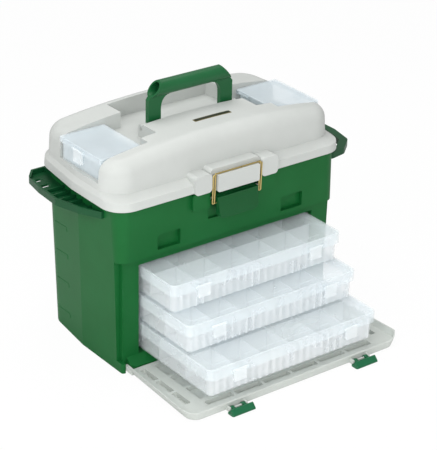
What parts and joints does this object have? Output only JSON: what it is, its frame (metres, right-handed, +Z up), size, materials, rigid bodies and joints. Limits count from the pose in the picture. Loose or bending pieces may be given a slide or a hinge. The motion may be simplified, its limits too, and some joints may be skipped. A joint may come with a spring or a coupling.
{
  "type": "tackle box",
  "caption": "Drawer-front tackle box with hinged domed lid, drop-down front door, clear utility boxes sliding out in steps, lid-top trays, draw latch and folding handle.",
  "frame": {"origin": "on the floor under the tub, in the plane of symmetry, on the flat base face", "axes": "+X to the object's right as seen from the front, +Y towards the back hinge, +Z up; the open front door lies towards -Y"},
  "size_m": [0.5679, 0.49, 0.45],
  "materials": {
    "green_body": "satin moulded polypropylene",
    "green_handle": "satin moulded polypropylene",
    "green_latch": "satin moulded polypropylene",
    "ivory_shell": "fine-grained moulded polypropylene",
    "ivory_door": "fine-grained moulded polypropylene",
    "clear_base": "clear polished polypropylene",
    "clear_lid": "clear polished polypropylene",
    "clear_divider": "clear polished polypropylene",
    "clear_latch": "clear polished polypropylene",
    "brass_wire": "drawn wire",
    "steel_pin": "drawn wire"
  },
  "bodies": {
    "tub": {"tub": "green_body", "latch_lever_pin": "steel_pin", "lid_hinge_pin_left": "steel_pin", "lid_hinge_pin_right": "steel_pin", "door_pin_left": "steel_pin", "door_pin_right": "steel_pin", "side_handle_left": "green_handle", "side_handle_right": "green_handle"},
    "lid": {"lid": "ivory_shell", "handle_pin_left": "steel_pin", "handle_pin_right": "steel_pin"},
    "handle": {"handle": "green_handle"},
    "latch_lever": {"latch_lever": "green_latch"},
    "latch_bail": {"latch_bail": "brass_wire"},
    "front_door": {"front_door": "ivory_door"},
    "door_catch_left": {"door_catch_left": "green_latch"},
    "door_catch_right": {"door_catch_right": "green_latch"},
    "box_bottom": {"box_bottom_base": "clear_base", "box_bottom_lid": "clear_lid", "box_bottom_dividers": "clear_divider"},
    "box_bottom_latch_left": {"box_bottom_latch_left": "clear_latch"},
    "box_bottom_latch_right": {"box_bottom_latch_right": "clear_latch"},
    "box_middle": {"box_middle_base": "clear_base", "box_middle_lid": "clear_lid", "box_middle_dividers": "clear_divider"},
    "box_middle_latch_left": {"box_middle_latch_left": "clear_latch"},
    "box_middle_latch_right": {"box_middle_latch_right": "clear_latch"},
    "box_top": {"box_top_base": "clear_base", "box_top_lid": "clear_lid", "box_top_dividers": "clear_divider"},
    "box_top_latch_left": {"box_top_latch_left": "clear_latch"},
    "box_top_latch_right": {"box_top_latch_right": "clear_latch"},
    "top_box_left": {"top_box_left_base": "clear_base"},
    "top_box_left_lid": {"top_box_left_lid": "clear_lid"},
    "top_box_left_latch": {"top_box_left_latch": "clear_latch"},
    "top_box_right": {"top_box_right_base": "clear_base"},
    "top_box_right_lid": {"top_box_right_lid": "clear_lid"},
    "top_box_right_latch": {"top_box_right_latch": "clear_latch"}
  },
  "joints": [
    {"name": "lid_hinge", "type": "hinge", "parent": "tub", "child": "lid", "pos_m": [0, 0.147, 0.301], "axis": [-1, 0, 0], "range_deg": [0, 105]},
    {"name": "handle_fold", "type": "hinge", "parent": "lid", "child": "handle", "pos_m": [0, 0.001, 0.371], "axis": [-1, 0, 0], "range_deg": [0, 90]},
    {"name": "latch_lever_swing", "type": "hinge", "parent": "tub", "child": "latch_lever", "pos_m": [0, -0.1265, 0.28], "axis": [-1, 0, 0], "range_deg": [0, 82]},
    {"name": "latch_bail_swing", "type": "hinge", "parent": "latch_lever", "child": "latch_bail", "pos_m": [0, -0.1345, 0.273], "axis": [-1, 0, 0], "range_deg": [-107, 1]},
    {"name": "door_hinge", "type": "hinge", "parent": "tub", "child": "front_door", "pos_m": [0, -0.1187, 0.009], "axis": [-1, 0, 0], "range_deg": [0, 3]},
    {"name": "door_catch_left_swing", "type": "hinge", "parent": "front_door", "child": "door_catch_left", "pos_m": [-0.131, -0.3186, 0.0052], "axis": [-1, 0, 0], "range_deg": [0, 75]},
    {"name": "door_catch_right_swing", "type": "hinge", "parent": "front_door", "child": "door_catch_right", "pos_m": [0.131, -0.3186, 0.0052], "axis": [-1, 0, 0], "range_deg": [0, 75]},
    {"name": "box_bottom_slide", "type": "slide", "parent": "tub", "child": "box_bottom", "axis": [0, -1, 0], "range_m": [-0.1925, 0.0015]},
    {"name": "box_bottom_latch_left_swing", "type": "hinge", "parent": "box_bottom", "child": "box_bottom_latch_left", "pos_m": [-0.118, -0.3069, 0.0653], "axis": [-1, 0, 0], "range_deg": [0, 90]},
    {"name": "box_bottom_latch_right_swing", "type": "hinge", "parent": "box_bottom", "child": "box_bottom_latch_right", "pos_m": [0.118, -0.3069, 0.0653], "axis": [-1, 0, 0], "range_deg": [0, 90]},
    {"name": "box_middle_slide", "type": "slide", "parent": "tub", "child": "box_middle", "axis": [0, -1, 0], "range_m": [-0.135, 0.059]},
    {"name": "box_middle_latch_left_swing", "type": "hinge", "parent": "box_middle", "child": "box_middle_latch_left", "pos_m": [-0.118, -0.2494, 0.1193], "axis": [-1, 0, 0], "range_deg": [0, 90]},
    {"name": "box_middle_latch_right_swing", "type": "hinge", "parent": "box_middle", "child": "box_middle_latch_right", "pos_m": [0.118, -0.2494, 0.1193], "axis": [-1, 0, 0], "range_deg": [0, 90]},
    {"name": "box_top_slide", "type": "slide", "parent": "tub", "child": "box_top", "axis": [0, -1, 0], "range_m": [-0.0915, 0.1025]},
    {"name": "box_top_latch_left_swing", "type": "hinge", "parent": "box_top", "child": "box_top_latch_left", "pos_m": [-0.118, -0.2059, 0.1733], "axis": [-1, 0, 0], "range_deg": [0, 90]},
    {"name": "box_top_latch_right_swing", "type": "hinge", "parent": "box_top", "child": "box_top_latch_right", "pos_m": [0.118, -0.2059, 0.1733], "axis": [-1, 0, 0], "range_deg": [0, 90]},
    {"name": "top_box_left_lift", "type": "slide", "parent": "lid", "child": "top_box_left", "axis": [0, 0, 1], "range_m": [0, 0.06]},
    {"name": "top_box_left_lid_hinge", "type": "hinge", "parent": "top_box_left", "child": "top_box_left_lid", "pos_m": [-0.1408, -0.008, 0.367], "axis": [0, 1, 0], "range_deg": [0, 88]},
    {"name": "top_box_left_latch_swing", "type": "hinge", "parent": "top_box_left_lid", "child": "top_box_left_latch", "pos_m": [-0.2299, -0.008, 0.366], "axis": [0, 1, 0], "range_deg": [0, 90]},
    {"name": "top_box_right_lift", "type": "slide", "parent": "lid", "child": "top_box_right", "axis": [0, 0, 1], "range_m": [0, 0.06]},
    {"name": "top_box_right_lid_hinge", "type": "hinge", "parent": "top_box_right", "child": "top_box_right_lid", "pos_m": [0.1408, -0.008, 0.367], "axis": [0, -1, 0], "range_deg": [0, 88]},
    {"name": "top_box_right_latch_swing", "type": "hinge", "parent": "top_box_right_lid", "child": "top_box_right_latch", "pos_m": [0.2299, -0.008, 0.366], "axis": [0, -1, 0], "range_deg": [0, 90]}
  ],
  "couplings": [
    {"joint": "latch_bail_swing", "follows": "latch_lever_swing", "ratio": -1.3}
  ]
}
